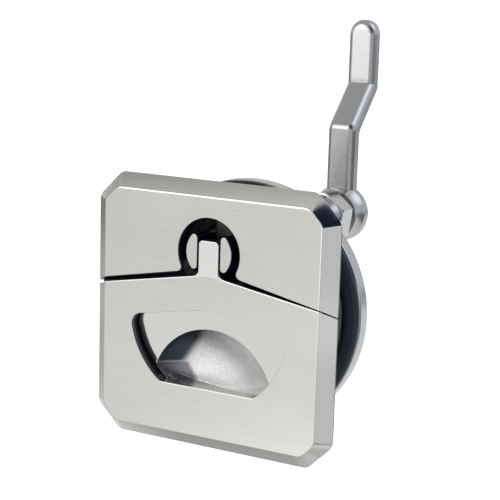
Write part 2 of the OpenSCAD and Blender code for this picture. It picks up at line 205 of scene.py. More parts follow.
def plate_steel(name, color, gap, painted_highlight=None, buffed=False):
    """Belt-ground face and finer polished bevels; painted shade darkens the inside of the gaps."""
    mat, t, b, obj = material(name)
    x, y, z = t.split(obj)
    ax, az = t.math("ABSOLUTE", x), t.math("ABSOLUTE", z)
    diag = t.math("SUBTRACT", t.math("MULTIPLY", t.math("ADD", ax, az), 0.70711), 0.00944)
    d = t.math("MAXIMUM", t.math("MAXIMUM", ax, az), diag)
    bevel = t.remap(d, 0.02858, 0.02872, 0.0, 1.0)
    side = t.math("MULTIPLY", bevel, t.remap(t.math("SUBTRACT", ax, az), -0.0008, 0.0008, 0.0, 1.0))
    along_x = t.noise(t.stretch(obj, (45, 5200, 5200)), 1.0, 3.0, 0.62)
    along_z = t.noise(t.stretch(obj, (5200, 5200, 45)), 1.0, 3.0, 0.62)
    lines = t.lerp(side, along_x, along_z)
    broad = t.noise(t.stretch(obj, (22, 60, 160)), 1.0, 3.0, 0.55)
    mottle = t.noise(obj, 110.0, 4.0, 0.55)
    k = t.math("ADD", swing(t, lines, 0.16), t.math("ADD", swing(t, broad, 0.06), swing(t, mottle, 0.05)))
    k = t.math("ADD", k, 1.0)
    # painted shading on the bevels: the top bevel darker towards its outer edge and lighter to the right, the bottom
    # bevel lighter towards its outer edge
    over = t.remap(d, 0.0286, 0.0320, 0.0, 1.0, False)
    top = t.math("MULTIPLY", bevel, t.remap(t.math("SUBTRACT", z, ax), -0.0005, 0.0012, 0.0, 1.0))
    low = t.math("MULTIPLY", bevel, t.remap(t.math("SUBTRACT", t.math("MULTIPLY", z, -1.0), ax), -0.0005, 0.0012, 0.0, 1.0))
    top_k = t.math("MULTIPLY", t.math("SUBTRACT", 1.06, t.math("MULTIPLY", over, 0.24)),
                   t.remap(x, -0.030, 0.024, 0.90, 1.20, False))
    low_k = t.math("ADD", 1.08, t.math("MULTIPLY", over, 0.30))
    # painted light: the whole plate is painted a little lighter towards the right
    k = t.math("MULTIPLY", k, t.remap(x, -0.030, 0.030, 0.975, 1.035, False))
    k = t.math("MULTIPLY", k, t.lerp(top, 1.0, top_k))
    k = t.math("MULTIPLY", k, t.lerp(low, 1.0, low_k))
    # painted highlight: the side bevels are painted brightest near the middle
    mid = t.remap(t.math("ABSOLUTE", t.math("SUBTRACT", z, 0.002)), 0.0, 0.013, 1.12, 0.97)
    k = t.math("MULTIPLY", k, t.lerp(side, 1.0, mid))
    # painted shade: the corner facets on the left are painted darker, the lower one most
    corner = t.math("MULTIPLY", bevel, t.remap(t.math("SUBTRACT", diag, t.math("MAXIMUM", ax, az)), -0.0004, 0.0004, 0.0, 1.0))
    left = t.math("MULTIPLY", corner, t.remap(x, -0.001, 0.001, 1.0, 0.0))
    k = t.math("MULTIPLY", k, t.lerp(left, 1.0, t.remap(z, -0.001, 0.001, 0.66, 0.80)))
    # painted highlight, when one is given, brightens the colour along its edges
    if painted_highlight is not None:
        k = t.math("MULTIPLY", k, painted_highlight(t, x, y, z, ax))
    col = t.scaled(color[:3], k)
    # painted shade: the inside of the gaps is painted dark and made non-metallic
    col = t.mix(gap(t, x, y, z, ax), col, GAP_SHADE)
    t.put(b.inputs["Base Color"], col)
    t.put(b.inputs["Metallic"], t.math("SUBTRACT", 1.0, gap(t, x, y, z, ax)))
    r = t.math("ADD", swing(t, lines, 0.07), swing(t, mottle, 0.05))
    r = t.math("ADD", r, t.lerp(bevel, 0.20, 0.10))
    r = t.math("ADD", r, t.math("MULTIPLY", gap(t, x, y, z, ax), 0.12))
    # the lower right corner is worn matt
    worn = t.math("MULTIPLY", t.remap(x, 0.0225, 0.0250, 0.0, 1.0), t.remap(z, -0.0270, -0.0235, 1.0, 0.0))
    r = t.math("ADD", r, t.math("MULTIPLY", t.math("MULTIPLY", worn, bevel), 0.26))
    t.put(b.inputs["Roughness"], r)
    normal = None
    if buffed:
        # the small corner facets are buffed slightly convex
        out = t.add("ShaderNodeCombineXYZ")
        t.put(out.inputs[0], t.math("SUBTRACT", x, t.math("MULTIPLY", t.math("SIGN", x), 0.0279)))
        t.put(out.inputs[2], t.math("SUBTRACT", z, 0.0279))
        lean = t.scaled(out.outputs[0], t.math("MULTIPLY", corner, 42.0))
        normal = t.vmath("NORMALIZE", t.vmath("ADD", t.add("ShaderNodeNewGeometry").outputs["Normal"], lean))
    t.put(b.inputs["Normal"], t.bump(lines, 0.07, 0.00002, normal))
    return mat


# walls of the split: they slant down to the back, and the slit narrows outwards and to the right;
# front edge above the handle's nominal edge: millimetres, per |x|, per x
SLANT = 0.40
PLATE_WALL = (1.62, -0.0385, -0.007)
HANDLE_WALL = (0.08, -0.009, 0.009)


def split_height(t, z, ax):
    """Height above the handle's chevron edge."""
    return t.math("ADD", t.math("SUBTRACT", z, 0.01047), t.math("MULTIPLY", ax, 0.163))


def wall_height(t, x, y, z, ax, at):
    """Height above the front edge of a split wall, measured along the slant of the wall."""
    base, per_ax, per_x = at
    s = t.math("ADD", split_height(t, z, ax), t.math("MULTIPLY", t.math("ADD", y, 0.0044), SLANT))
    s = t.math("SUBTRACT", s, t.math("MULTIPLY", ax, per_ax))
    return t.math("SUBTRACT", t.math("SUBTRACT", s, t.math("MULTIPLY", x, per_x)), base * MM)


def from_middle(t, z, ax):
    """Distance from the middle of the plate, measured octagon by octagon."""
    az = t.math("ABSOLUTE", z)
    diag = t.math("SUBTRACT", t.math("MULTIPLY", t.math("ADD", ax, az), 0.70711), 0.00944)
    return t.math("MAXIMUM", t.math("MAXIMUM", ax, az), diag)


def plate_gap_shade(t, x, y, z, ax):
    # painted shade inside the slit, the spindle hole and the inner walls, and on the base flange behind the slit
    s = wall_height(t, x, y, z, ax, PLATE_WALL)
    zz = t.math("SUBTRACT", z, 0.0156)
    r = t.math("SQRT", t.math("ADD", t.math("MULTIPLY", x, x), t.math("MULTIPLY", zz, zz)))
    slot = t.math("MULTIPLY", t.remap(s, 0.00003, 0.00014, 1.0, 0.0), t.remap(s, -0.0050, -0.0025, 0.0, 1.0))
    hole = t.remap(r, 0.00830, 0.00842, 1.0, 0.0)
    inside = t.math("MAXIMUM", slot, hole)
    # the painted shade fades out on the base flange a few millimetres below the slit
    near = t.remap(s, -0.0050, -0.0025, 0.0, 1.0)
    walls = t.math("MULTIPLY", t.remap(from_middle(t, z, ax), 0.0278, 0.0282, 1.0, 0.0), near)
    inside = t.math("MAXIMUM", inside, walls)
    inside = t.math("MULTIPLY", inside, t.remap(y, -0.00425, -0.0038, 0.0, 1.0))
    base = t.math("MULTIPLY", t.remap(y, -0.00128, -0.00122, 0.0, 1.0), near)
    inside = t.math("MAXIMUM", inside, base)
    return t.math("MULTIPLY", inside, t.remap(y, -0.0002, -0.0001, 1.0, 0.0))


def handle_gap_shade(t, x, y, z, ax):
    # painted shade inside the slit above the handle and on the window walls
    s = wall_height(t, x, y, z, ax, HANDLE_WALL)
    inside = t.remap(s, -0.00020, -0.00008, 0.0, 1.0)
    window = t.math("MULTIPLY", t.remap(from_middle(t, z, ax), 0.0270, 0.0275, 1.0, 0.0),
                    t.remap(y, -0.00140, -0.00134, 1.0, 0.0))
    # painted shade on the window walls, darker deeper in; the lower wall is left unpainted and stays bright
    low_wall = t.remap(z, -0.0166, -0.0158, 0.0, 1.0)
    window = t.math("MULTIPLY", window, t.remap(y, -0.0036, -0.0030, 0.80, 0.97))
    window = t.math("MULTIPLY", window, t.math("ADD", 0.04, t.math("MULTIPLY", low_wall, 0.96)))
    # painted shade: a thin dark line where the edge of the window turns in
    rim = t.math("MULTIPLY", t.remap(y, -0.00439, -0.00432, 0.0, 0.90), t.remap(s, -0.0030, -0.0020, 1.0, 0.0))
    rim = t.math("MULTIPLY", rim, t.math("MULTIPLY", low_wall, t.remap(from_middle(t, z, ax), 0.0270, 0.0275, 1.0, 0.0)))
    inside = t.math("MAXIMUM", inside, window)
    return t.math("MAXIMUM", rim, t.math("MULTIPLY", inside, t.remap(y, -0.00415, -0.0037, 0.0, 1.0)))


def head_gap_shade(t, x, y, z, ax):
    # painted shade on the walls of the head behind the face
    return t.remap(y, -0.00426, -0.0040, 0.0, 1.0)


def handle_painted_highlight(t, x, y, z, ax):
    """Painted highlights along the handle's upper edge and along the lower lip of the window."""
    s = wall_height(t, x, y, z, ax, HANDLE_WALL)
    line = t.math("MULTIPLY", t.remap(s, -0.00052, -0.00030, 0.0, 1.0), t.remap(ax, 0.0250, 0.0285, 1.0, 0.25))
    lip = t.math("MULTIPLY", t.remap(t.math("ABSOLUTE", t.math("ADD", z, 0.01702)), 0.00012, 0.00026, 1.0, 0.0),
                 t.remap(ax, 0.0118, 0.0128, 1.0, 0.0))
    return t.lerp(t.math("MAXIMUM", line, lip), 1.0, 1.24)


mat_face = plate_steel("face_steel", (0.815, 0.810, 0.775, 1), plate_gap_shade, buffed=True)
mat_handle = plate_steel("handle_steel", (0.825, 0.820, 0.792, 1), handle_gap_shade, handle_painted_highlight)
mat_head = plate_steel("head_steel", (0.80, 0.79, 0.765, 1), head_gap_shade)
mat_turned = steel("turned_steel", (0.65, 0.66, 0.665, 1), 0.20, (500, 4200, 500), 0.05, 0.05)
mat_nut = steel("nut_steel", (0.70, 0.70, 0.70, 1), 0.13, (300, 1800, 300), 0.05, 0.06)


def barrel_painted_shade(t, obj):
    """Painted shade: the part of the barrel that stands in the panel is painted nearly black."""
    x, y, z = t.split(obj)
    r = t.math("SQRT", t.math("ADD", t.math("MULTIPLY", x, x), t.math("MULTIPLY", z, z)))
    dark = t.math("MULTIPLY", t.remap(y, 0.0105, 0.0120, 1.0, 0.0), t.remap(r, 0.0240, 0.0244, 0.0, 1.0))
    return t.lerp(dark, 1.0, 0.035)


mat_barrel = steel("barrel_steel", (0.72, 0.725, 0.725, 1), 0.24, (500, 4200, 500), 0.05, 0.05, tone=barrel_painted_shade)


def arm_painted_highlight(t, obj):
    """Painted highlight on the flat of the tip; the rest of the arm is a little darker."""
    x, y, z = t.split(obj)
    flat = t.math("MULTIPLY", t.remap(y, 0.07545, 0.07565, 1.0, 0.0), t.remap(z, 0.0505, 0.0520, 0.0, 1.0))
    return t.lerp(flat, 0.94, 1.32)


mat_cast = steel("cast_steel", (0.605, 0.61, 0.615, 1), 0.27, (500, 500, 500), 0.10, 0.24, grain=0.45,
                 rough_var=0.10, tone=arm_painted_highlight)
mat_spring = steel("spring_steel", (0.55, 0.55, 0.54, 1), 0.3, (900, 900, 900), 0.08, 0.1)
mat_dark = steel("dark_steel", (0.10, 0.10, 0.105, 1), 0.35, (900, 900, 900), 0.1, 0.1, grain=0.4)


def blasted():
    """Finger cup: polished floor, bead blasted scoop."""
    mat, t, b, obj = material("cup_steel")
    x, y, z = t.split(obj)
    ball = t.remap(y, -0.00176, -0.00168, 0.0, 1.0)
    fine = t.noise(obj, 2100.0, 3.0, 0.70)
    coarse = t.noise(obj, 300.0, 3.0, 0.6)
    lines = t.noise(t.stretch(obj, (45, 5000, 5000)), 1.0, 3.0, 0.6)
    grain = t.math("ADD", swing(t, fine, 0.85), swing(t, coarse, 0.10))
    k = t.math("ADD", t.math("MULTIPLY", grain, ball), 1.0)
    # painted light: the right half of the scoop is painted lighter
    k = t.math("MULTIPLY", k, t.lerp(ball, 1.0, t.remap(x, -0.006, 0.010, 0.93, 1.13)))
    # painted shade: the upper left of the scoop is painted dark blue-grey and the lower left wall mid grey
    across = t.vmath("DOT_PRODUCT", t.vmath("SUBTRACT", obj, (-0.00978, 0.0, -0.01296)), (-0.779, 0.0, 0.627))
    across = t.math("ADD", across, swing(t, coarse, 0.0008))
    shade = t.remap(across, -0.0007, 0.0012, 0.0, 1.0)
    wx = t.math("ADD", x, t.math("MULTIPLY", t.math("ADD", z, 0.01296), 0.32))
    wall = t.math("MULTIPLY", t.remap(z, -0.0136, -0.0130, 1.0, 0.0), t.remap(wx, -0.0100, -0.0085, 1.0, 0.0))
    scoop_painted_shade = t.mix(shade, (0.88, 0.878, 0.872, 1), (0.075, 0.098, 0.125, 1))
    scoop_painted_shade = t.mix(wall, scoop_painted_shade, (0.27, 0.28, 0.31, 1))
    # painted highlight: a light line between the painted shade at the upper left and the lower left wall
    painted_ridge_highlight = t.math("MULTIPLY", t.remap(t.math("ABSOLUTE", t.math("ADD", z, 0.01318)), 0.0001, 0.0005, 1.0, 0.0),
                   t.remap(x, -0.0102, -0.0094, 0.75, 0.0))
    scoop_painted_shade = t.mix(painted_ridge_highlight, scoop_painted_shade, (0.50, 0.51, 0.53, 1))
    # the wall below the ball is left rough from casting; at its left end it is painted dark as painted shade
    inward = t.vmath("SUBTRACT", (0.0, -0.01461, -0.0195), obj)
    off = t.math("ABSOLUTE", t.math("SUBTRACT", t.vmath("LENGTH", inward), 0.02081))
    round_part = t.remap(off, 0.00030, 0.00045, 1.0, 0.0)
    on_ball = t.math("MULTIPLY", ball, round_part)
    flat = t.math("SUBTRACT", ball, on_ball)
    painted_wall_shade = t.math("MULTIPLY", flat, t.remap(x, -0.0138, -0.0110, 1.0, 0.0))
    scoop_painted_shade = t.mix(painted_wall_shade, scoop_painted_shade, (0.26, 0.27, 0.30, 1))
    t.put(b.inputs["Base Color"], t.scaled(t.mix(ball, (0.86, 0.858, 0.835, 1), scoop_painted_shade), k))
    b.inputs["Metallic"].default_value = 1.0
    t.put(b.inputs["Roughness"], t.math("ADD", t.math("ADD", t.math("MULTIPLY", ball, 0.15), t.math("MULTIPLY", flat, 0.35)),
                                         t.math("ADD", 0.07, t.math("MULTIPLY", lines, 0.06))))
    # true curvature of the ball
    normal = t.mix(on_ball, t.add("ShaderNodeNewGeometry").outputs["Normal"], t.vmath("NORMALIZE", inward))
    h = t.math("ADD", t.math("MULTIPLY", fine, ball), t.math("MULTIPLY", lines, 0.05))
    t.put(b.inputs["Normal"], t.bump(h, 0.38, 0.00005, t.vmath("NORMALIZE", normal)))
    return mat


mat_cup = blasted()


def rubber(name, color, rough, tone=None):
    mat, t, b, obj = material(name)
    fine = t.noise(obj, 2600.0, 3.0, 0.6)
    soft = t.noise(obj, 140.0, 3.0, 0.55)
    k = t.math("ADD", 0.8, t.math("MULTIPLY", soft, 0.4))
    if tone is not None:
        k = t.math("MULTIPLY", k, tone(t, obj))
    t.put(b.inputs["Base Color"], t.scaled(color[:3], k))
    t.put(b.inputs["Roughness"], t.math("ADD", rough, swing(t, soft, 0.2)))
    b.inputs["Specular IOR Level"].default_value = 0.30
    t.put(b.inputs["Normal"], t.bump(fine, 0.12, 0.00005))
    return mat


def gasket_painted_shade(t, obj):
    """Painted shade: darkest where the gasket meets the barrel and darker towards the outer edge, leaving a lighter
    band in the middle as a painted highlight.
    """
    x, y, z = t.split(obj)
    r = t.math("SQRT", t.math("ADD", t.math("MULTIPLY", x, x), t.math("MULTIPLY", z, z)))
    return t.math("MULTIPLY", t.remap(r, 0.0268, 0.0284, 0.15, 1.0), t.remap(r, 0.0294, 0.0305, 1.0, 0.50))


mat_gasket = rubber("gasket_rubber", (0.022, 0.036, 0.054, 1), 0.42, gasket_painted_shade)
mat_seal = rubber("seal_rubber", (0.012, 0.012, 0.013, 1), 0.5)
mat_nylon = rubber("black_nylon", (0.010, 0.010, 0.012, 1), 0.42)

FINISH = {
    "clamp_ring": mat_turned, "panel_gasket": mat_gasket, "barrel": mat_barrel, "spindle_housing": mat_turned,
    "thrust_bar": mat_dark, "wear_ring": mat_nylon, "front_bush": mat_nylon, "rear_bush": mat_nylon,
    "head_seal": mat_seal, "spindle_seal": mat_seal, "housing_circlip": mat_spring, "pivot_pin": mat_dark,
    "head_snap_ring": mat_spring, "return_spring": mat_spring, "spring_washer": mat_turned,
    "spring_e_clip": mat_spring, "front_nut": mat_nut, "lock_washer": mat_dark,
}
for name, mat in FINISH.items():
    o = nodes[name]
    o.data.materials.clear()
    o.data.materials.append(mat)


# ---------------------------------------------------------------- edge rounding of the carried-over pieces
def soften(o, width, segments=3, angle=28.0):
    """Joins the tessellation, merges flat triangles and rounds every real edge a little."""
    o.data.polygons.foreach_set("use_smooth", [True] * len(o.data.polygons))
    w = o.modifiers.new("weld", "WELD")
    w.merge_threshold = 2e-6
    if width > 0:
        d = o.modifiers.new("flat", "DECIMATE")
        d.decimate_type = "DISSOLVE"
        d.angle_limit = math.radians(0.4)
        b = o.modifiers.new("edge", "BEVEL")
        b.width = width * MM
        b.segments = segments
        b.limit_method = "ANGLE"
        b.angle_limit = math.radians(angle)
        b.use_clamp_overlap = True
        b.miter_outer = "MITER_SHARP"
    n = o.modifiers.new("normals", "WEIGHTED_NORMAL")
    n.mode = "FACE_AREA"
    n.weight = 50
    n.keep_sharp = False


for name, width in {
    "clamp_ring": 0.15, "barrel": 0.08, "spindle_housing": 0.15, "front_nut": 0.12,
    "lock_washer": 0.12, "thrust_bar": 0.15, "spring_washer": 0.1, "pivot_pin": 0.15,
    "spring_e_clip": 0.08, "housing_circlip": 0.08, "wear_ring": 0.08, "front_bush": 0.08, "rear_bush": 0.08,
    "panel_gasket": 0.0,
}.items():
    soften(nodes[name], width)


# ---------------------------------------------------------------- plates with their edges rounded one by one
BODY = {n: b for b, ns in frame["record"]["behaviour"]["bodies"].items() for n in ns}
FACE_Y = -4.4


def oct_dist(p):
    ax, az = abs(p[0]), abs(p[2])
    return max(ax, az, (ax + az) * 0.70711 - 9.44)


def over_split(p):
    return p[2] - 10.47 + 0.163 * abs(p[0])


def slanted(p, wall, base):
    """Vertex p moved with the split wall whose nominal height above the handle's edge is base."""
    s = over_split(p) - base
    if p[1] > -0.9 or not -0.05 < s < 1.0 or abs(p[0]) < 2.65 or math.hypot(p[0], p[2] - 15.6) < 8.25:
        return p
    f = min(1.0, 1.0 - s)
    dz = wall[0] - base + wall[1] * abs(p[0]) + wall[2] * p[0] - SLANT * (p[1] - FACE_Y)
    return Vector((p[0], p[1], p[2] + f * dz))


def corner_line(p, q, mid):
    return abs(p[1] - q[1]) > 0.1 and oct_dist(mid) > 28.7 and abs(over_split(mid)) > 6.0 and mid[1] < -1.2


def plate_edge(p, q, mid):
    front = max(p[1], q[1]) < FACE_Y + 0.05
    if front:
        return 0.27 if oct_dist(mid) > 28.2 else 0.16
    if min(p[1], q[1]) > -1.5 and max(p[1], q[1]) < -1.40:
        return 0.13
    if abs(p[1] - q[1]) > 1.0 and oct_dist(mid) > 28.7:
        return 0.12
    return 0.0


def handle_edge(p, q, mid):
    front = max(p[1], q[1]) < FACE_Y + 0.05
    if front:
        if oct_dist(mid) > 28.2:
            return 0.27
        return 0.24 if over_split(mid) > -0.8 and abs(mid[0]) > 2.7 else 0.15
    if min(p[1], q[1]) > -1.5 and max(p[1], q[1]) < -1.40:
        return 0.13
    if abs(p[1] - q[1]) > 1.0 and oct_dist(mid) > 28.7:
        return 0.12
    return 0.0


def head_edge(p, q, mid):
    return 0.17 if max(p[1], q[1]) < FACE_Y + 0.05 else 0.0


def cup_edge(p, q, mid):
    if max(p[1], q[1]) > -1.7:
        return 0.0
    return 0.10


def rounded_copy(node, rule, mat, segments=4, wall=None, base=0.0):
    """Copy of a node with each sharp edge rounded by its own width in millimetres."""
    bm = bmesh.new()
    bm.from_mesh(nodes[node].data)
    bmesh.ops.remove_doubles(bm, verts=bm.verts, dist=2e-6)
    bmesh.ops.dissolve_limit(bm, angle_limit=math.radians(0.4), verts=bm.verts, edges=bm.edges,
                             use_dissolve_boundaries=False)
    if wall is not None:
        for v in bm.verts:
            v.co = slanted(v.co / MM, wall, base) * MM * 0.9999
        lines = []
        for e in bm.edges:
            p, q = (v.co / MM for v in e.verts)
            if len(e.link_faces) == 2 and e.calc_face_angle() > math.radians(24) and corner_line(p, q, (p + q) / 2):
                lines.append(e)
        bmesh.ops.bevel(bm, geom=lines, offset=1.0 * MM, offset_type="OFFSET", segments=6, profile=0.5,
                        affect="EDGES", clamp_overlap=False)
    widest = 0.27
    layer = bm.edges.layers.float.new("bevel_weight_edge")
    for e in bm.edges:
        if len(e.link_faces) == 2 and e.calc_face_angle() > math.radians(24):
            p, q = (v.co / MM for v in e.verts)
            e[layer] = rule(p, q, (p + q) / 2) / widest
    for f in bm.faces:
        f.smooth = True
    me = bpy.data.meshes.new(node + "_finished")
    bm.to_mesh(me)
    bm.free()
    o = bpy.data.objects.new(node + "_finished", me)
    scene.collection.objects.link(o)
    me.materials.append(mat)
    b = o.modifiers.new("edge", "BEVEL")
    b.width = widest * MM
    b.segments = segments
    b.limit_method = "WEIGHT"
    b.use_clamp_overlap = False
    b.miter_outer = "MITER_SHARP"
    n = o.modifiers.new("normals", "WEIGHTED_NORMAL")
    n.mode = "FACE_AREA"
    n.weight = 50
    n.keep_sharp = False
    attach(o, BODY[node])
    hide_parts(node)
    return o


rounded_copy("face_plate", plate_edge, mat_face, wall=PLATE_WALL, base=0.95)
rounded_copy("handle", handle_edge, mat_handle, wall=HANDLE_WALL, base=0.0)
rounded_copy("clevis_head", head_edge, mat_head)
rounded_copy("finger_cup", cup_edge, mat_cup, 3)


# ---------------------------------------------------------------- detailed pieces
AXIS_Z = 15.6


def build(name, verts, faces, mat, sharp=()):
    """Mesh object from points in millimetres; sharp lists pairs of vertex numbers."""
    me = bpy.data.meshes.new(name)
    me.from_pydata([tuple(c * MM for c in v) for v in verts], [], faces)
    bm = bmesh.new()
    bm.from_mesh(me)
    bm.verts.ensure_lookup_table()
    pairs = [(bm.verts[a], bm.verts[b]) for a, b in sharp]
    for a, c in pairs:
        e = bm.edges.get((a, c))
        if e:
            e.smooth = False
    bmesh.ops.remove_doubles(bm, verts=bm.verts, dist=1e-7)
    bmesh.ops.recalc_face_normals(bm, faces=bm.faces)
    for f in bm.faces:
        f.smooth = True
    bm.to_mesh(me)
    bm.free()
    o = bpy.data.objects.new(name, me)
    scene.collection.objects.link(o)
    me.materials.append(mat)
    return o


def lathe(profile, n=128, z=AXIS_Z):
    """Closed profile [(r, y), ...] turned about the spindle line."""
    verts, faces = [], []
    k = len(profile)
    for i in range(n):
        a = 2 * math.pi * i / n
        for r, y in profile:
            verts.append((r * math.cos(a), y, z + r * math.sin(a)))
    for i in range(n):
        for j in range(k):
            a, b_ = i * k + j, i * k + (j + 1) % k
            c, d_ = ((i + 1) % n) * k + (j + 1) % k, ((i + 1) % n) * k + j
            faces.append((a, b_, c, d_))
    return verts, faces


def arc(cx, cy, r, a0, a1, n):
    return [(cx + r * math.cos(math.radians(a0 + (a1 - a0) * i / n)),
             cy + r * math.sin(math.radians(a0 + (a1 - a0) * i / n))) for i in range(n + 1)]


def fillet(p, q, s, r, n):
    """Points of the corner at q between p and s, rounded with radius r."""
    p, q, s = Vector(p), Vector(q), Vector(s)
    u, v = (p - q).normalized(), (s - q).normalized()
    half = math.acos(max(-1.0, min(1.0, u.dot(v)))) / 2
    m_ = q + (u + v).normalized() * r / math.sin(half)
    a, c = q + u * r / math.tan(half), q + v * r / math.tan(half)
    s0 = math.atan2(a.y - m_.y, a.x - m_.x)
    s1 = math.atan2(c.y - m_.y, c.x - m_.x)
    turn = (s1 - s0 + 3 * math.pi) % (2 * math.pi) - math.pi
    return [(m_.x + r * math.cos(s0 + turn * i / n), m_.y + r * math.sin(s0 + turn * i / n)) for i in range(n + 1)]


def arm_bar():
    """Cranked bar: flat ground front between rounded edges, round tip."""
    w, tk, front, bend, crank, top = 3.93, 4.95, 64.4, 39.5, 11.0, 67.4
    e = tk * math.tan(math.radians(22.5))
    sc = top - w
    n = 6
    fr = [(front, 20.7)] + fillet((front, 20.7), (front, bend), (front + crank, bend + crank), 2.6, n) \
        + fillet((front, bend), (front + crank, bend + crank), (front + crank, sc), 0.35, n) + [(front + crank, sc)]
    bk = [(front + tk, 20.7)] \
        + fillet((front + tk, 20.7), (front + tk, bend - e), (front + tk + crank, bend + crank - e), 3.0, n) \
        + fillet((front + tk, bend - e), (front + tk + crank, bend + crank - e), (front + tk + crank, sc), 2.0, n) \
        + [(front + tk + crank, sc)]
    # inset from the outline and depth from the front: chamfer-like start, then a round to the side
    r, r2, a0 = 2.05, 1.3, 8.0
    k0 = math.sin(math.radians(a0))
    d0 = 1 - math.cos(math.radians(a0))
    prof = [(r - r * math.sin(math.radians(a0 + (90 - a0) * i / 7)),
             (r - r * math.cos(math.radians(a0 + (90 - a0) * i / 7))) - r * d0) for i in range(8)]
    prof += [(r2 - r2 * math.cos(math.radians(90 * i / 6)), tk - r2 + r2 * math.sin(math.radians(90 * i / 6)))
             for i in range(7)]
    m_ = len(prof)
    verts, faces, sharp = [], [], []
    rings = 0
    for (fy, fz), (by, bz) in zip(fr, bk):
        for sx in (-1, 1):
            for ins, dep in (prof if sx < 0 else prof[::-1]):
                f = dep / tk
                verts.append((sx * (w - ins), fy + (by - fy) * f, fz + (bz - fz) * f))
        rings += 1
    nt = 16
    for i in range(1, nt + 1):
        phi = math.radians(90 * i / nt)
        for sx in (-1, 1):
            for ins, dep in (prof if sx < 0 else prof[::-1]):
                verts.append((sx * (w - ins) * math.cos(phi), front + crank + dep, sc + (w - ins) * math.sin(phi)))
        rings += 1
    k = 2 * m_
    for i in range(rings - 1):
        for j in range(k):
            faces.append((i * k + j, i * k + (j + 1) % k, (i + 1) * k + (j + 1) % k, (i + 1) * k + j))
        sharp += [(i * k, (i + 1) * k), (i * k + k - 1, (i + 1) * k + k - 1)]
    faces.append(tuple(range(k)))
    return build("arm_bar", verts, faces, mat_cast, sharp)


def arm_eye():
    prof = [(3.98, 62.2)] + arc(6.35, 62.5, 0.3, -90, -20, 4) + [(6.78, 63.55), (7.15, 64.45)] \
        + arc(6.2, 66.2, 1.5, -35, 0, 5) + arc(6.2, 67.8, 1.5, 0, 90, 8) + [(3.98, 69.3)]
    v, f = lathe(prof, 128)
    return build("arm_eye", v, f, mat_cast)


def fuse(a, other, name):
    """Exact union of two closed meshes as one new mesh."""
    mod = a.modifiers.new("join", "BOOLEAN")
    mod.operation = "UNION"
    mod.solver = "EXACT"
    mod.object = other
    dg = bpy.context.evaluated_depsgraph_get()
    dg.update()
    me = bpy.data.meshes.new_from_object(a.evaluated_get(dg))
    me.name = name
    o = bpy.data.objects.new(name, me)
    scene.collection.objects.link(o)
    for x in (a, other):
        bpy.data.objects.remove(x, do_unlink=True)
    return o


arm = fuse(arm_eye(), arm_bar(), "arm_cast")
bm = bmesh.new()
bm.from_mesh(arm.data)
for f in bm.faces:
    f.smooth = True
for e in bm.edges:
    e.smooth = not (len(e.link_faces) == 2 and e.calc_face_angle() > math.radians(20))
bm.to_mesh(arm.data)
bm.free()
arm.data.materials.clear()
arm.data.materials.append(mat_cast)
n = arm.modifiers.new("normals", "WEIGHTED_NORMAL")
n.keep_sharp = True
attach(arm, "spindle")
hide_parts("arm")


def spindle_mesh():
    """Shank with its clip groove and a rolled M8 thread on the end."""
    pitch, major, minor, end = 1.25, 3.95, 3.28, 71.2
    shank = [(0.0, 8.6), (2.6, 8.6), (3.0, 9.0), (3.0, 10.1), (2.5, 10.1), (2.5, 11.9), (3.0, 11.9), (3.0, 14.3),
             (4.7, 14.3), (5.0, 14.6), (5.0, 29.85), (4.05, 29.85), (4.05, 30.95), (5.0, 30.95), (5.0, 49.2),
             (4.2, 50.0), (3.6, 50.6), (3.3, 50.9)]
    n = 72
    rows = [[(r, y)] * n for r, y in shank]
    y = 51.0
    while y < end - 0.05:
        row = []
        for i in range(n):
            ph = ((y - pitch * i / n) / pitch) % 1.0
            tri = 1 - abs(2 * ph - 1)
            h = max(0.0, min(1.0, (tri - 0.12) / 0.76))
            r = minor + (major - minor) * h
            r = min(r, 3.05 + (end - y), 3.3 + (y - 50.9) * 0.9)
            row.append((r, y))
        rows.append(row)
        y += pitch / 12
    rows.append([(3.05, end)] * n)
    rows.append([(0.0, end)] * n)
    verts, faces = [], []
    for row in rows:
        for i, (r, y) in enumerate(row):
            a = 2 * math.pi * i / n
            verts.append((r * math.cos(a), y, AXIS_Z + r * math.sin(a)))
    for j in range(len(rows) - 1):
        for i in range(n):
            a, b_ = j * n + i, j * n + (i + 1) % n
            c, d_ = (j + 1) * n + (i + 1) % n, (j + 1) * n + i
            if rows[j][0][0] == 0.0:
                faces.append((a, c, d_))
            elif rows[j + 1][0][0] == 0.0:
                faces.append((a, b_, d_))
            else:
                faces.append((a, b_, c, d_))
    return build("spindle_bar", verts, faces, mat_turned)


spindle = spindle_mesh()
bm = bmesh.new()
bm.from_mesh(spindle.data)
for e in bm.edges:
    e.smooth = not (len(e.link_faces) == 2 and e.calc_face_angle() > math.radians(28))
bm.to_mesh(spindle.data)
bm.free()
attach(spindle, "spindle")
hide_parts("spindle")


# ---------------------------------------------------------------- studio
def plane(name, size, z):
    me = bpy.data.meshes.new(name)
    s = size / 2
    me.from_pydata([(-s, -s, z), (s, -s, z), (s, s, z), (-s, s, z)], [], [(0, 1, 2, 3)])
    o = bpy.data.objects.new(name, me)
    scene.collection.objects.link(o)
    return o


floor = plane("floor", 16.0, -0.075)
mat_floor, t, b, obj = material("floor_paint")
speck = t.noise(obj, 30.0, 3.0, 0.5)
t.put(b.inputs["Base Color"], t.scaled((0.82, 0.82, 0.82), t.math("ADD", 0.99, swing(t, speck, 0.02))))
b.inputs["Roughness"].default_value = 0.9
b.inputs["Specular IOR Level"].default_value = 0.0
b.inputs["Emission Color"].default_value = (1, 1, 1, 1)
b.inputs["Emission Strength"].default_value = 0.8
floor.data.materials.append(mat_floor)

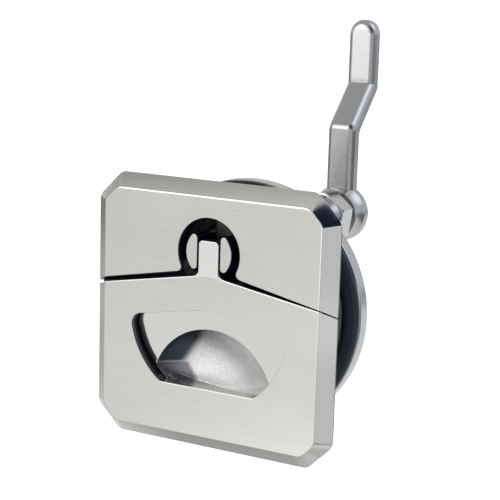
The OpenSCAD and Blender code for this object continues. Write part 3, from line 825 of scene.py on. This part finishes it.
# light and dark cards lying on the floor, seen only in reflections
cards = plane("cards", 16.0, -0.0745)
for flag in ("visible_camera", "visible_diffuse", "visible_shadow", "visible_transmission", "visible_volume_scatter"):
    setattr(cards, flag, False)
mat_cards, t, b, obj = material("card_glow")
flat = t.vmath("MULTIPLY", obj, (1.0, 1.0, 0.0))
to_front = t.vmath("DOT_PRODUCT", flat, (0.473, -0.881, 0.0))
to_right = t.vmath("DOT_PRODUCT", flat, (0.881, 0.473, 0.0))
far = t.vmath("LENGTH", flat)
turn = t.math("DIVIDE", to_right, t.math("MAXIMUM", to_front, 0.001))
in_front = t.remap(to_front, 0.0, 0.03, 0.0, 1.0)
left_level = t.math("MULTIPLY", t.remap(to_front, -0.22, 0.10, 0.44, 0.74), t.remap(far, 0.26, 0.55, 1.0, 0.85))
key = t.remap(t.vmath("DISTANCE", flat, (-0.004, -0.085, 0.0)), 0.020, 0.110, 0.22, 0.0)
left_level = t.math("ADD", left_level, key)
under = t.remap(far, 0.030, 0.070, 0.48, 1.0)
left_level = t.math("MULTIPLY", left_level, under)
# brighter far out in front for the arm's tip, dimmer far out at the back left
far_front = t.math("MULTIPLY", in_front, t.remap(far, 1.00, 1.50, 0.0, 0.42))
left_level = t.math("ADD", left_level, far_front)
far_back = t.math("MULTIPLY", t.remap(to_front, -0.15, -0.05, 1.0, 0.0), t.remap(far, 0.44, 0.60, 0.0, 0.36))
left_level = t.math("MULTIPLY", left_level, t.math("SUBTRACT", 1.0, far_back))
# bright strip beside the camera that draws the light line along the right bevel
strip = t.math("MULTIPLY", t.remap(turn, -0.78, -0.62, 0.0, 1.0), t.remap(turn, -0.22, -0.14, 1.0, 0.0))
strip = t.math("MULTIPLY", strip, t.remap(to_front, 0.18, 0.45, 0.0, 0.70))
left_level = t.math("ADD", left_level, strip)
left_col = t.scaled((1.0, 0.995, 0.985), left_level)
right_col = t.mix(t.remap(far, 0.08, 0.15, 1.0, 0.0), (0.575, 0.59, 0.60, 1), (0.20, 0.21, 0.23, 1))
on_right = t.math("MULTIPLY", t.remap(to_right, -0.012, -0.004, 0.0, 1.0), t.remap(to_front, 0.050, 0.080, 0.0, 1.0))
col = t.mix(on_right, left_col, right_col)
wedge = t.math("MULTIPLY", t.remap(t.math("ABSOLUTE", turn), 0.06, 0.14, 1.0, 0.0), t.remap(to_front, 0.10, 0.16, 0.0, 0.55))
col = t.mix(wedge, col, (0.05, 0.055, 0.07, 1))
back = t.math("MULTIPLY", t.remap(to_front, -0.10, -0.02, 1.0, 0.0), t.remap(to_right, -0.16, -0.06, 0.0, 1.0))
col = t.mix(back, col, t.mix(t.remap(far, 0.42, 0.80, 0.0, 1.0), (0.76, 0.77, 0.78, 1), (0.38, 0.39, 0.40, 1)))
# dark side of the room, to the right
side_a = t.remap(t.math("SUBTRACT", to_right, t.math("MULTIPLY", to_front, 0.95)), 0.0, 0.05, 0.0, 1.0)
side_b = t.remap(t.math("ADD", to_front, t.math("MULTIPLY", to_right, 0.35)), 0.0, 0.05, 0.0, 1.0)
dark = t.math("MULTIPLY", t.math("MULTIPLY", side_a, side_b), t.remap(far, 0.12, 0.20, 0.0, 0.85))
col = t.mix(dark, col, (0.020, 0.024, 0.040, 1))
b.inputs["Base Color"].default_value = (0, 0, 0, 1)
b.inputs["Roughness"].default_value = 1.0
b.inputs["Specular IOR Level"].default_value = 0.0
t.put(b.inputs["Emission Color"], col)
b.inputs["Emission Strength"].default_value = 1.0
cards.data.materials.append(mat_cards)

# small card behind the handle's lower lip that fills the finger scoop with light
me = bpy.data.meshes.new("scoop_card")
edge = math.acos(18.7 / 22.6)
arc_pts = [(22.6 * math.sin(edge * (i / 12 - 1)), 22.6 * math.cos(edge * (i / 12 - 1))) for i in range(25)]
me.from_pydata([(px * MM, -0.00122, -pz * MM) for px, pz in arc_pts], [], [tuple(range(25))])
scoop_card = bpy.data.objects.new("scoop_card", me)
scene.collection.objects.link(scoop_card)
mat_fill, t, b, obj = material("fill_glow")
fx, fy, fz = t.split(obj)
b.inputs["Base Color"].default_value = (0, 0, 0, 1)
b.inputs["Specular IOR Level"].default_value = 0.0
b.inputs["Emission Color"].default_value = (1.0, 0.995, 0.99, 1)
t.put(b.inputs["Emission Strength"], t.remap(fz, -0.029, -0.020, 1.2, 1.52))
me.materials.append(mat_fill)
for flag in ("visible_camera", "visible_diffuse", "visible_shadow", "visible_transmission", "visible_volume_scatter"):
    setattr(scoop_card, flag, False)

# white studio wall all round, seen only by the camera
verts, faces = [], []
for i in range(64):
    a = 2 * math.pi * i / 64
    verts += [(7.5 * math.cos(a), 7.5 * math.sin(a), -0.2), (7.5 * math.cos(a), 7.5 * math.sin(a), 3.0)]
    j = (i + 1) % 64
    faces.append((2 * i, 2 * j, 2 * j + 1, 2 * i + 1))
me = bpy.data.meshes.new("studio_wall")
me.from_pydata(verts, [], faces)
wall = bpy.data.objects.new("studio_wall", me)
scene.collection.objects.link(wall)
mat_wall, t, b, obj = material("wall_paint")
b.inputs["Base Color"].default_value = (0, 0, 0, 1)
b.inputs["Specular IOR Level"].default_value = 0.0
b.inputs["Emission Color"].default_value = (1, 1, 1, 1)
b.inputs["Emission Strength"].default_value = 1.1
me.materials.append(mat_wall)
for flag in ("visible_diffuse", "visible_glossy", "visible_shadow", "visible_transmission", "visible_volume_scatter"):
    setattr(wall, flag, False)

world = bpy.data.worlds.new("studio")
scene.world = world
world.use_nodes = True
t = Tree(world.node_tree)
out = t.add("ShaderNodeOutputWorld")
bg = t.add("ShaderNodeBackground")
t.t.links.new(bg.outputs[0], out.inputs[0])
d = t.vmath("NORMALIZE", t.add("ShaderNodeTexCoord").outputs["Generated"])


def blob(direction, inner, outer):
    """1 inside a cone of inner degrees around direction, falling to 0 at outer degrees."""
    v = Vector(direction).normalized()
    c = t.vmath("DOT_PRODUCT", d, tuple(v))
    return t.remap(c, math.cos(math.radians(outer)), math.cos(math.radians(inner)), 0.0, 1.0)


dx, dy, dz = t.split(d)
level = t.remap(dz, 0.0, 0.9, 0.55, 0.46)
level = t.math("ADD", level, t.remap(dy, -0.1, 0.7, 0.0, 0.08))
# key softbox in front, a little left and above
level = t.math("ADD", level, t.math("MULTIPLY", blob((-0.42, -0.84, 0.36), 10, 24), 1.6))
# light strip low on the right, under the dark side of the room
low_band = t.math("MULTIPLY", t.remap(dz, 0.02, 0.05, 0.0, 1.0), t.remap(dz, 0.10, 0.14, 1.0, 0.0))
level = t.math("ADD", level, t.math("MULTIPLY", blob((0.62, 0.25, 0.74), 12, 28), 1.0))
low_band = t.math("MULTIPLY", low_band, t.remap(dx, 0.45, 0.60, 0.0, 0.25))
tint = t.mix(t.remap(dx, 0.1, 0.6, 0.0, 1.0), (1.0, 0.99, 0.97, 1), (0.90, 0.96, 1.03, 1))
color = t.scaled(tint, level)
gap = t.math("MULTIPLY", blob((0.735, -0.459, 0.5), 26, 33), t.remap(dz, 0.10, 0.14, 0.0, 1.0))
gap = t.math("MULTIPLY", gap, t.remap(dy, -0.30, -0.12, 1.0, 0.0))
color = t.mix(gap, color, (0.009, 0.013, 0.034, 1))
color = t.vmath("ADD", color, t.scaled((1.0, 1.0, 1.0), low_band))
t.put(bg.inputs["Color"], color)
bg.inputs["Strength"].default_value = 1.0
